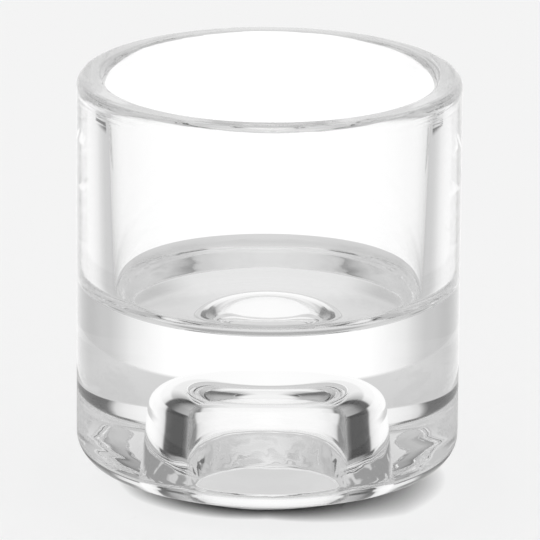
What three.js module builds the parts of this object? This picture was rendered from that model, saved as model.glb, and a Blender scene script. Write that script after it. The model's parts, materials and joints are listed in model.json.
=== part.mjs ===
// Reversible glass candle holder, pressed in one piece from clear soda-lime glass.
// Cup upwards it holds a tealight. Turned over, the socket in its thick base
// holds a dinner candle. Millimetres, +Z up, origin at the centre of the foot.

import * as THREE from 'three';

// Body
const bodyDiameter = 56;
const bodyHeight = 61.3;
const rimInsideRound = 1.6;        // fire-polished inner edge of the rim
const rimOutsideRound = 1.4;       // and its outer edge
const heelHeight = 4.7;            // rise of the underside from the foot to the side wall
const heelRound = 3.9;             // large corner that rolls the side wall under
const footDiameter = 30.7;         // where the rising underside meets the flat foot
const footRound = 2.3;

// Cup for a tealight, drawn off the plunger by a slight draft
const cupRimDiameter = 47.6;
const cupDepth = 32.6;
const cupDraft = 2.0;              // degrees, narrower at the floor
const cupFloorRound = 3.3;

// Socket for a dinner candle, blind, opening through the foot
const socketMouthDiameter = 24.0;
const socketDepth = 18.5;
const socketDraft = 3.5;           // degrees, narrower at the blind end
const socketMouthRound = 0.9;
const socketEndRound = 6.1;

// Facets
const facetsAround = 80;
const arcStep = 10;                // degrees of a round between two profile points

const glassColour = 0xf2f6f5;

// Half section, from the axis at the socket's blind end, round the foot, the wall and
// the rim, to the axis at the cup's floor. Each corner is sharp here and has its round.
function sectionCorners() {
  const draftRise = (length, degrees) => length * Math.tan(THREE.MathUtils.degToRad(degrees));
  const bodyRadius = bodyDiameter / 2;
  const cupRimRadius = cupRimDiameter / 2;
  const cupFloorRadius = cupRimRadius - draftRise(cupDepth, cupDraft);
  const cupFloorHeight = bodyHeight - cupDepth;
  const socketMouthRadius = socketMouthDiameter / 2;
  const socketEndRadius = socketMouthRadius - draftRise(socketDepth, socketDraft);
  return [
    { r: 0, z: socketDepth, round: 0 },
    { r: socketEndRadius, z: socketDepth, round: socketEndRound },
    { r: socketMouthRadius, z: 0, round: socketMouthRound },
    { r: footDiameter / 2, z: 0, round: footRound },
    { r: bodyRadius, z: heelHeight, round: heelRound },
    { r: bodyRadius, z: bodyHeight, round: rimOutsideRound },
    { r: cupRimRadius, z: bodyHeight, round: rimInsideRound },
    { r: cupFloorRadius, z: cupFloorHeight, round: cupFloorRound },
    { r: 0, z: cupFloorHeight, round: 0 },
  ];
}

// Points of the arc that rounds a corner, tangent to the two sides that meet there.
function roundedCorner(before, corner, after) {
  const point = new THREE.Vector2(corner.r, corner.z);
  if (corner.round === 0) return [point];
  const toBefore = new THREE.Vector2(before.r, before.z).sub(point).normalize();
  const toAfter = new THREE.Vector2(after.r, after.z).sub(point).normalize();
  const halfAngle = Math.acos(toBefore.dot(toAfter)) / 2;
  const tangentLength = corner.round / Math.tan(halfAngle);
  const bisector = toBefore.clone().add(toAfter).normalize();
  const centre = point.clone().addScaledVector(bisector, corner.round / Math.sin(halfAngle));
  const start = point.clone().addScaledVector(toBefore, tangentLength).sub(centre);
  const turn = Math.PI - 2 * halfAngle;
  const direction = Math.sign(toAfter.cross(toBefore));
  const steps = Math.max(2, Math.ceil(THREE.MathUtils.radToDeg(turn) / arcStep));
  const arc = [];
  for (let step = 0; step <= steps; step += 1) {
    const angle = direction * turn * (step / steps);
    arc.push(start.clone().rotateAround(new THREE.Vector2(0, 0), angle).add(centre));
  }
  return arc;
}

function sectionOutline() {
  const corners = sectionCorners();
  return corners.flatMap((corner, index) => {
    const before = corners[Math.max(index - 1, 0)];
    const after = corners[Math.min(index + 1, corners.length - 1)];
    return roundedCorner(before, corner, after);
  });
}

// The body is the outline turned once round its axis.
function glassBody() {
  const geometry = new THREE.LatheGeometry(sectionOutline(), facetsAround);
  geometry.rotateX(Math.PI / 2);
  const clearGlass = new THREE.MeshStandardMaterial({
    color: glassColour,
    roughness: 0.02,
    metalness: 0,
    transparent: true,
    opacity: 0.35,
  });
  const body = new THREE.Mesh(geometry, clearGlass);
  body.name = 'glass_body';
  return body;
}

const candleHolder = new THREE.Group();
candleHolder.add(glassBody());

export default candleHolder;
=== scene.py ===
import json
import math
import bmesh
import bpy
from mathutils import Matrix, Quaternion, Vector


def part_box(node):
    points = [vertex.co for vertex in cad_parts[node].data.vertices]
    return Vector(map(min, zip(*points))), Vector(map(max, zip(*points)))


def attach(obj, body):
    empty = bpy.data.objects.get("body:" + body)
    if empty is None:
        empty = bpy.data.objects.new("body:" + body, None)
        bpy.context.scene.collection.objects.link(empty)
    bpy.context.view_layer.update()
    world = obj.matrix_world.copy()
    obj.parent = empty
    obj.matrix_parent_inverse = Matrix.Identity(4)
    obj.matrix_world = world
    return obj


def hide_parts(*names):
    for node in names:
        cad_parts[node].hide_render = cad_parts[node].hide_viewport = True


# Reversible glass candle holder: one thick piece of pressed clear glass on a pale table.
# Metres, +Z up, origin at the centre of the foot.

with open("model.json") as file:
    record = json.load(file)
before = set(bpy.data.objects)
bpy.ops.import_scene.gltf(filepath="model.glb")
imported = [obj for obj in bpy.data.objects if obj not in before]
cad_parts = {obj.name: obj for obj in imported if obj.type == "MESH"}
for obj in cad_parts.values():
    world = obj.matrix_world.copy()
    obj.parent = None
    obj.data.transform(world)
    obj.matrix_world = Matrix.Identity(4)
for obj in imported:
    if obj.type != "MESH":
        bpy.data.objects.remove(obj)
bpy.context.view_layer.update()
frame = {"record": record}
print("frame loaded")

mm = 0.001
weld = 0.001 * mm    # points closer than this are one point


def linearColour(hexColour):
    channels = [int(hexColour[i:i + 2], 16) / 255 for i in (1, 3, 5)]
    linear = [c / 12.92 if c <= 0.04045 else ((c + 0.055) / 1.055) ** 2.4 for c in channels]
    return (*linear, 1.0)


# Adds a node. An input that is a socket is linked, any other is set on the node's own socket.
def addNode(tree, kind, inputs=None, **settings):
    node = tree.nodes.new(kind)
    for name, value in settings.items():
        setattr(node, name, value)
    for name, value in (inputs or {}).items():
        if isinstance(value, bpy.types.NodeSocket):
            tree.links.new(value, node.inputs[name])
        else:
            node.inputs[name].default_value = value
    return node


# Goes from each level to the next as the value passes from the first to the second of two edges.
def fadeThrough(tree, value, levels, edges):
    level = levels[0]
    for (start, end), nextLevel in zip(edges, levels[1:]):
        level = addNode(
            tree, "ShaderNodeMapRange",
            {"Value": value, "From Min": start, "From Max": end,
             "To Min": level, "To Max": nextLevel},
            interpolation_type="SMOOTHSTEP",
        ).outputs[0]
    return level


# Camera: the photograph looks down on the rim from in front.

view = {
    "elevation": 17.19,            # degrees
    "distance": 0.996,
    "aimHeight": 30 * mm,
    "pixelsPerMm": 6.843,          # at the aim, in a picture 540 pixels wide
    "pictureWidth": 540,
    "shiftRight": 1.75,            # pixels that the holder stands off the picture's middle
    "shiftDown": 11.51,
    "roll": 0.42,                  # degrees
}


def addCamera():
    lens = bpy.data.cameras.new("photoCamera")
    camera = bpy.data.objects.new("photoCamera", lens)
    bpy.context.scene.collection.objects.link(camera)
    tilt = math.radians(view["elevation"])
    toCamera = Vector((0, -math.cos(tilt), math.sin(tilt)))
    camera.location = Vector((0, 0, view["aimHeight"])) + toCamera * view["distance"]
    camera.rotation_mode = "QUATERNION"
    roll = Quaternion((0, 0, 1), math.radians(view["roll"]))
    camera.rotation_quaternion = (-toCamera).to_track_quat("-Z", "Y") @ roll
    millimetresAcross = view["pictureWidth"] / view["pixelsPerMm"]
    lens.lens = lens.sensor_width * view["distance"] / (millimetresAcross * mm)
    lens.shift_x = view["shiftRight"] / view["pictureWidth"]
    lens.shift_y = view["shiftDown"] / view["pictureWidth"]
    bpy.context.scene.camera = camera


addCamera()
print("camera placed")


# The holder. Its section is walked from the socket's blind end, round the foot, the wall and
# the rim, to the floor of the cup, with sharp corners, which are then rounded and spun.

holder = {
    "rimInsideRound": 1.6 * mm,
    "rimOutsideRound": 1.4 * mm,
    "heelHeight": 4.7 * mm,        # the underside rises this much from the foot to the wall
    "heelRound": 3.9 * mm,
    "footRadius": 15.35 * mm,
    "footRound": 2.3 * mm,
    "cupRimRadius": 23.8 * mm,
    "cupDraft": 2.0,               # degrees
    "cupFloorRound": 3.3 * mm,
    "socketMouthRadius": 12.0 * mm,
    "socketDraft": 3.5,            # degrees
    "socketMouthRound": 0.9 * mm,
    "socketEndRound": 6.1 * mm,
    "degreesPerArcStep": 4,
    "fewestArcSteps": 4,
    "longestStraight": 0.9 * mm,   # a straight stretch of the section is cut no coarser
    "turnSteps": 320,
    "waveSize": 3.7 * mm,          # crest to crest
    "waveDepth": 0.10 * mm,
    "wavyBelow": 9.0 * mm,         # height that the waves die out at
    "wavyInside": 27.0 * mm,       # radius that they die out at
    "heightFade": 0.3,             # share of the height and of the radius that they fade over
    "radiusFade": 0.1,
}


def mountHeight(name):
    return next(m["pos_m"][2] for m in frame["record"]["mounts"] if m["name"] == name)


def sectionCorners():
    low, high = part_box("glass_body")
    bodyRadius = high[0]
    height = high[2] - low[2]
    cupFloor = mountHeight("cup_floor")
    socketEnd = mountHeight("socket_end")
    cupNarrowing = (height - cupFloor) * math.tan(math.radians(holder["cupDraft"]))
    socketNarrowing = socketEnd * math.tan(math.radians(holder["socketDraft"]))
    return [
        (0, socketEnd, 0),
        (holder["socketMouthRadius"] - socketNarrowing, socketEnd, holder["socketEndRound"]),
        (holder["socketMouthRadius"], 0, holder["socketMouthRound"]),
        (holder["footRadius"], 0, holder["footRound"]),
        (bodyRadius, holder["heelHeight"], holder["heelRound"]),
        (bodyRadius, height, holder["rimOutsideRound"]),
        (holder["cupRimRadius"], height, holder["rimInsideRound"]),
        (holder["cupRimRadius"] - cupNarrowing, cupFloor, holder["cupFloorRound"]),
        (0, cupFloor, 0),
    ]


def selectOnly(mesh, elements):
    bpy.ops.mesh.select_all(action="DESELECT")
    for element in elements:
        element.select = True
    mesh.select_flush(True)


def drawSection(corners):
    bpy.ops.object.select_all(action="DESELECT")
    bpy.ops.mesh.primitive_plane_add(size=1 * mm)
    piece = bpy.context.object
    bpy.ops.object.mode_set(mode="EDIT")
    bpy.ops.mesh.merge(type="CENTER")
    place = Vector((corners[0][0], 0, corners[0][1]))
    bpy.ops.transform.translate(value=place)
    for radius, height, _ in corners[1:]:
        step = Vector((radius, 0, height)) - place
        bpy.ops.mesh.extrude_vertices_move(TRANSFORM_OT_translate={"value": step})
        place += step
    bpy.ops.mesh.select_all(action="SELECT")
    bpy.ops.mesh.edge_face_add()
    return piece


def roundCorners(piece, corners):
    mesh = bmesh.from_edit_mesh(piece.data)
    for before, corner, after in zip(corners, corners[1:], corners[2:]):
        point = Vector(corner[:2])
        toBefore = (Vector(before[:2]) - point).normalized()
        toAfter = (Vector(after[:2]) - point).normalized()
        halfAngle = toBefore.angle(toAfter) / 2
        turn = 180 - 2 * math.degrees(halfAngle)
        arcSteps = math.ceil(turn / holder["degreesPerArcStep"])
        place = Vector((corner[0], 0, corner[1]))
        selectOnly(mesh, [min(mesh.verts, key=lambda v: (v.co - place).length)])
        bpy.ops.mesh.bevel(
            affect="VERTICES",
            offset_type="OFFSET",
            offset=corner[2] / math.tan(halfAngle),
            segments=max(holder["fewestArcSteps"], arcSteps),
            profile=0.5,
            clamp_overlap=False,
        )
        mesh = bmesh.from_edit_mesh(piece.data)


# Cuts the straight stretches up, so that the rounds beside them don't bend their shading.
def cutStraights(piece):
    longest = holder["longestStraight"]
    mesh = bmesh.from_edit_mesh(piece.data)
    cutsNeeded = {math.ceil(edge.calc_length() / longest) - 1 for edge in mesh.edges}
    for cuts in sorted(cutsNeeded - {0}, reverse=True):
        mesh = bmesh.from_edit_mesh(piece.data)
        alike = [e for e in mesh.edges if math.ceil(e.calc_length() / longest) - 1 == cuts]
        selectOnly(mesh, alike)
        bpy.ops.mesh.subdivide(number_cuts=cuts)


def spinSection(piece):
    mesh = bmesh.from_edit_mesh(piece.data)
    selectOnly(mesh, mesh.faces)
    bpy.ops.mesh.delete(type="ONLY_FACE")
    mesh = bmesh.from_edit_mesh(piece.data)
    onAxis = [e for e in mesh.edges if max(abs(v.co.x) for v in e.verts) < weld]
    selectOnly(mesh, onAxis)
    bpy.ops.mesh.delete(type="EDGE")
    cutStraights(piece)
    bpy.ops.mesh.select_all(action="SELECT")
    bpy.ops.mesh.spin(
        steps=holder["turnSteps"], angle=math.tau, center=(0, 0, 0), axis=(0, 0, 1),
    )
    bpy.ops.mesh.select_all(action="SELECT")
    bpy.ops.mesh.remove_doubles(threshold=weld)
    bpy.ops.mesh.normals_make_consistent(inside=False)
    bpy.ops.object.mode_set(mode="OBJECT")
    bpy.ops.object.shade_smooth()


# The plunger and the mould leave the socket, the heel and the foot slightly wavy. The waves
# only go into the glass, so that the holder keeps its size.
def waveUnderside(piece):
    waves = bpy.data.textures.new("mouldWaves", "CLOUDS")
    waves.noise_scale = holder["waveSize"]
    waves.noise_depth = 1
    waved = piece.vertex_groups.new(name="waved")
    for vertex in piece.data.vertices:
        radius = math.hypot(vertex.co.x, vertex.co.y)
        low = (1 - vertex.co.z / holder["wavyBelow"]) / holder["heightFade"]
        inner = (1 - radius / holder["wavyInside"]) / holder["radiusFade"]
        waved.add([vertex.index], max(0, min(1, low, inner)), "REPLACE")
    press = piece.modifiers.new("mouldWaves", "DISPLACE")
    press.texture = waves
    press.texture_coords = "LOCAL"
    press.mid_level = 1.0
    press.strength = holder["waveDepth"]
    press.vertex_group = waved.name
    bpy.ops.object.modifier_apply(modifier=press.name)


def pressHolder():
    corners = sectionCorners()
    piece = drawSection(corners)
    piece.name = "pressed_glass"
    roundCorners(piece, corners)
    spinSection(piece)
    waveUnderside(piece)
    return piece


glass = pressHolder()
print("holder spun:", len(glass.data.polygons), "faces")


# Soda-lime glass, pressed with a plunger: clear and without colour, with a sharp gloss. Its
# wall was fire polished, so it is smooth. On the rim the glass was drawn round as it melted,
# which left fine streaks that run along it and break up its reflections.

glassLook = {
    "tint": "#ffffff",
    "ior": 1.52,
    "roughness": 0.0,
    "streakWidth": 0.9 * mm,
    "streakLength": 16 * mm,
    "streakDepth": 0.07 * mm,
    "streaksFadeIn": (57.5 * mm, 59 * mm),    # height
}


def sodaLimeGlass():
    material = bpy.data.materials.new("pressedSodaLimeGlass")
    material.use_nodes = True
    tree = material.node_tree
    tree.nodes.clear()
    place = addNode(tree, "ShaderNodeTexCoord").outputs["Object"]
    axes = addNode(tree, "ShaderNodeSeparateXYZ", {0: place}).outputs
    flat = addNode(tree, "ShaderNodeCombineXYZ", {0: axes[0], 1: axes[1]}).outputs[0]
    radius = addNode(
        tree, "ShaderNodeVectorMath", {0: flat}, operation="LENGTH",
    ).outputs["Value"]
    onRim = fadeThrough(tree, axes[2], (0.0, 1.0), [glassLook["streaksFadeIn"]])
    across = addNode(tree, "ShaderNodeCombineXYZ", {0: radius, 2: axes[2]}).outputs[0]
    along = addNode(
        tree, "ShaderNodeVectorMath",
        {0: flat, 1: (1 / glassLook["streakLength"],) * 3},
        operation="MULTIPLY",
    ).outputs[0]
    drawn = addNode(
        tree, "ShaderNodeVectorMath",
        {0: across, 1: (1 / glassLook["streakWidth"],) * 3, 2: along},
        operation="MULTIPLY_ADD",
    ).outputs[0]
    streaks = addNode(tree, "ShaderNodeTexNoise", {"Vector": drawn, "Scale": 1.0}).outputs[0]
    normal = addNode(
        tree, "ShaderNodeBump",
        {"Strength": onRim, "Distance": glassLook["streakDepth"], "Height": streaks},
    ).outputs[0]
    shader = addNode(
        tree, "ShaderNodeBsdfPrincipled",
        {
            "Base Color": linearColour(glassLook["tint"]),
            "IOR": glassLook["ior"],
            "Roughness": glassLook["roughness"],
            "Transmission Weight": 1.0,
            "Normal": normal,
        },
    ).outputs[0]
    addNode(tree, "ShaderNodeOutputMaterial", {0: shader})
    return material


glass.data.materials.append(sodaLimeGlass())
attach(glass, "root")
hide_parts("glass_body")
print("glass laid on")


# The table and the room. The camera sees both plain and pale. Glass shows what stands round
# it, so the rays that pass through it or off it meet painted shadow and light on the table round
# the foot, a bright wall behind, greyer sides and low dark cards at the left and the right,
# which give clear glass its dark edges.

studio = {
    "backdrop": "#f4f4f4",
    "tableWidth": 20.0,
    "tableGap": 0.02 * mm,         # below the foot
    "bounces": 72,                 # light bounces many times inside the thick wall
    # Times each tone below, where 1 is white. It is over 1 because the glass keeps some back.
    "brightest": 1.2,
    # mm from the holder's axis, tone of the table close to it, which only shows in the glass:
    # painted shadow and light of the holder round its foot, behind, beside and in front
    "paintedShadeBehind": [
        (0, 0.56), (17, 0.56), (21, 0.58), (25, 0.64), (30, 0.64), (32, 0.5), (35, 0.54),
        (45, 0.5), (52, 0.54), (63, 0.57),
    ],
    "paintedShadeBeside": [
        (0, 0.56), (17, 0.58), (21, 0.56), (25, 0.48), (27, 0.52), (28.5, 0.4), (30, 0.25),
        (33, 0.25), (35, 0.5), (45, 0.5), (52, 0.52), (63, 0.5),
    ],
    "paintedShadeInFront": [
        (0, 0.5), (16, 0.3), (18, 0.32), (21, 0.46), (25, 0.63), (28, 0.67), (32, 0.55),
        (35, 0.42), (52, 0.4), (63, 0.4),
    ],
    "besideFrom": (22, 40),        # degrees from straight behind
    "inFrontFrom": (85, 108),
    "nearEnds": (62.5 * mm, 64.5 * mm),    # from the axis, where the sweep below shows instead
    "grazedEnds": (50 * mm, 56 * mm),      # the same for grazing rays
    "grazing": (0.735, 0.77),      # 1 is level with the table
    # degrees from straight behind, tone of the room: seen below the table's height, low down,
    # at half height and high up
    "sweepTone": [
        (0, 0.93), (18, 0.91), (24, 0.87), (28, 0.82), (32, 0.76), (36, 0.7), (39, 0.62),
        (42, 0.56), (46, 0.5), (52, 0.49), (58, 0.44), (70, 0.42), (90, 0.48), (130, 0.5),
        (150, 0.62), (180, 0.66),
    ],
    "lowTone": [
        (0, 0.87), (20, 0.84), (30, 0.77), (36, 0.7), (40, 0.58), (43, 0.22), (45, 0.09),
        (50, 0.06), (56, 0.04), (74, 0.04), (79, 0.12), (84, 0.38), (92, 0.47), (120, 0.47),
        (150, 0.6), (180, 0.64),
    ],
    "halfTone": [
        (0, 0.84), (20, 0.81), (28, 0.7), (32, 0.6), (35, 0.2), (37, 0.08), (46, 0.07),
        (52, 0.12), (60, 0.25), (70, 0.33), (80, 0.4), (90, 0.46), (120, 0.46), (150, 0.53),
        (180, 0.5),
    ],
    "highTone": [
        (0, 0.74), (12, 0.74), (20, 0.6), (26, 0.48), (32, 0.38), (35, 0.18), (38, 0.06),
        (47, 0.05), (53, 0.16), (60, 0.28), (75, 0.42), (90, 0.38), (130, 0.5), (180, 0.52),
    ],
    "topTone": 0.77,
    # sine of the elevation, where one tone gives way to the next
    "lowFrom": (-0.265, -0.23),
    "halfFrom": (0.16, 0.24),
    "highFrom": (0.48, 0.58),
    "topFrom": (0.85, 0.93),
    # the lower ends of the cards, which show under the rim at the left and the right
    "cardTone": 0.1,
    "cardSides": ((34, 35), (48, 49.5)),    # degrees from straight behind
    "cardSlant": 0.00037,          # rise of their ends in sine of the elevation, by degree
    "cardEnds": ((-0.3361, -0.3351), (-0.3195, -0.3145)),    # the same, straight behind
    # Painted contact shadow: the table's colour is darkened only where the holder's underside is
    # this close.
    "contactShadow": [(-20, 2.4), (0, 1.5), (20, 3.9)],    # mm to the right, mm of reach
    "shadowSamples": 16,
}


# One ramp for each curve of tones. The share is that of the curve's last place.
def toneCurves(tree, share, names):
    curves = []
    for name in names:
        ramp = addNode(tree, "ShaderNodeValToRGB", {0: share})
        lastPlace = studio[name][-1][0]
        elements = ramp.color_ramp.elements
        elements.remove(elements[1])
        for index, (place, tone) in enumerate(studio[name]):
            stop = elements[0] if index == 0 else elements.new(place / lastPlace)
            stop.position = place / lastPlace
            stop.color = (tone, tone, tone, 1)
        curves.append(ramp.outputs[0])
    return curves


def degreesFromBehind(tree, axes):
    sideways = addNode(tree, "ShaderNodeMath", {0: axes[0]}, operation="ABSOLUTE").outputs[0]
    angle = addNode(
        tree, "ShaderNodeMath", {0: sideways, 1: axes[1]}, operation="ARCTAN2",
    ).outputs[0]
    return addNode(tree, "ShaderNodeMath", {0: angle}, operation="DEGREES").outputs[0]


# 1 for what is seen through the glass or in it. Light on its way to the table counts as plain.
def seenInGlass(tree, path):
    passed = addNode(
        tree, "ShaderNodeMath",
        {0: path["Is Transmission Ray"], 1: path["Is Glossy Ray"]},
        operation="MAXIMUM",
    ).outputs[0]
    onWay = addNode(
        tree, "ShaderNodeMath", {0: path["Diffuse Depth"], 1: 1.0}, operation="MINIMUM",
    ).outputs[0]
    seen = addNode(tree, "ShaderNodeMath", {0: 1.0, 1: onWay}, operation="SUBTRACT").outputs[0]
    return addNode(tree, "ShaderNodeMath", {0: passed, 1: seen}, operation="MULTIPLY").outputs[0]


# Matte white laminate: even and pale to the eye, with a painted contact shadow close round the
# foot. Seen in the glass, it glows with painted shadow and light of the holder near the foot.
def tableMaterial():
    material = bpy.data.materials.new("matteWhiteTable")
    material.use_nodes = True
    tree = material.node_tree
    tree.nodes.clear()
    place = addNode(tree, "ShaderNodeTexCoord").outputs["Object"]
    axes = addNode(tree, "ShaderNodeSeparateXYZ", {0: place}).outputs
    radius = addNode(
        tree, "ShaderNodeVectorMath", {0: place}, operation="LENGTH",
    ).outputs["Value"]
    lastPlace = studio["paintedShadeBehind"][-1][0] * mm
    share = addNode(
        tree, "ShaderNodeMath", {0: radius, 1: lastPlace}, operation="DIVIDE",
    ).outputs[0]
    paintedShade = fadeThrough(
        tree, degreesFromBehind(tree, axes),
        toneCurves(tree, share, ("paintedShadeBehind", "paintedShadeBeside", "paintedShadeInFront")),
        [studio["besideFrom"], studio["inFrontFrom"]],
    )
    # Seen in the glass, the table glows with this painted shadow and light.
    paintedShadeInGlass = addNode(tree, "ShaderNodeEmission", {0: paintedShade, 1: studio["brightest"]}).outputs[0]
    ends = [
        fadeThrough(tree, radius, (0.0, 1.0), [studio[name]]) for name in ("nearEnds", "grazedEnds")
    ]
    facing = addNode(tree, "ShaderNodeLayerWeight", {"Blend": 0.5}).outputs["Facing"]
    ended = fadeThrough(tree, facing, ends, [studio["grazing"]])
    sweepBelow = addNode(tree, "ShaderNodeBsdfTransparent").outputs[0]
    paintedShadeInGlass = addNode(
        tree, "ShaderNodeMixShader", {0: ended, 1: paintedShadeInGlass, 2: sweepBelow},
    ).outputs[0]
    reach = studio["contactShadow"][0][1] * mm
    for left, right in zip(studio["contactShadow"], studio["contactShadow"][1:]):
        reach = addNode(
            tree, "ShaderNodeMapRange",
            {"Value": axes[0], "From Min": left[0] * mm, "From Max": right[0] * mm,
             "To Min": reach, "To Max": right[1] * mm},
        ).outputs[0]
    # Painted contact shadow: ambient occlusion darkens the table's own colour near the underside.
    paintedContactShadow = addNode(
        tree, "ShaderNodeAmbientOcclusion",
        {"Color": linearColour(studio["backdrop"]), "Distance": reach},
        samples=studio["shadowSamples"],
    ).outputs["Color"]
    matte = addNode(tree, "ShaderNodeBsdfDiffuse", {0: paintedContactShadow}).outputs[0]
    path = addNode(tree, "ShaderNodeLightPath").outputs
    shown = addNode(
        tree, "ShaderNodeMixShader", {0: seenInGlass(tree, path), 1: matte, 2: paintedShadeInGlass},
    ).outputs[0]
    addNode(tree, "ShaderNodeOutputMaterial", {0: shown})
    return material


def addTable():
    bpy.ops.object.select_all(action="DESELECT")
    bpy.ops.mesh.primitive_plane_add(
        size=studio["tableWidth"], location=(0, 0, -studio["tableGap"]),
    )
    table = bpy.context.object
    table.name = "table"
    table.data.materials.append(tableMaterial())


def addRoom():
    world = bpy.data.worlds.new("studioRoom")
    world.use_nodes = True
    tree = world.node_tree
    tree.nodes.clear()
    direction = addNode(tree, "ShaderNodeTexCoord").outputs["Generated"]
    axes = addNode(tree, "ShaderNodeSeparateXYZ", {0: direction}).outputs
    angle = degreesFromBehind(tree, axes)
    share = addNode(tree, "ShaderNodeMath", {0: angle, 1: 180.0}, operation="DIVIDE").outputs[0]
    sweep, *above = toneCurves(tree, share, ("sweepTone", "lowTone", "halfTone", "highTone"))
    slanted = addNode(
        tree, "ShaderNodeMath",
        {0: angle, 1: studio["cardSlant"], 2: axes[2]},
        operation="MULTIPLY_ADD",
    ).outputs[0]
    cardSide = fadeThrough(tree, angle, (0.0, 1.0, 0.0), studio["cardSides"])
    card = fadeThrough(tree, slanted, (0.0, cardSide, 0.0), studio["cardEnds"])
    sweep = addNode(
        tree, "ShaderNodeMapRange",
        {"Value": card, "To Min": sweep, "To Max": studio["cardTone"]},
    ).outputs[0]
    tone = fadeThrough(
        tree, axes[2],
        (sweep, *above, studio["topTone"]),
        [studio[name] for name in ("lowFrom", "halfFrom", "highFrom", "topFrom")],
    )
    tone = addNode(
        tree, "ShaderNodeMath", {0: tone, 1: studio["brightest"]}, operation="MULTIPLY",
    ).outputs[0]
    path = addNode(tree, "ShaderNodeLightPath").outputs
    backdropTone = linearColour(studio["backdrop"])[0]
    plain = addNode(
        tree, "ShaderNodeMapRange",
        {"Value": path["Is Camera Ray"], "To Min": 1.0, "To Max": backdropTone},
    ).outputs[0]
    shown = addNode(
        tree, "ShaderNodeMapRange",
        {"Value": seenInGlass(tree, path), "To Min": plain, "To Max": tone},
    ).outputs[0]
    light = addNode(
        tree, "ShaderNodeBackground", {"Color": (1, 1, 1, 1), "Strength": shown},
    ).outputs[0]
    addNode(tree, "ShaderNodeOutputWorld", {0: light})
    bpy.context.scene.world = world


addTable()
addRoom()
print("table and room set")

scene = bpy.context.scene
scene.view_settings.view_transform = "Standard"
scene.cycles.max_bounces = studio["bounces"]
scene.cycles.transmission_bounces = studio["bounces"]
scene.cycles.glossy_bounces = studio["bounces"]
# Light reaches the table through the glass, so what passes through it stays sharp.
scene.cycles.blur_glossy = 0.0
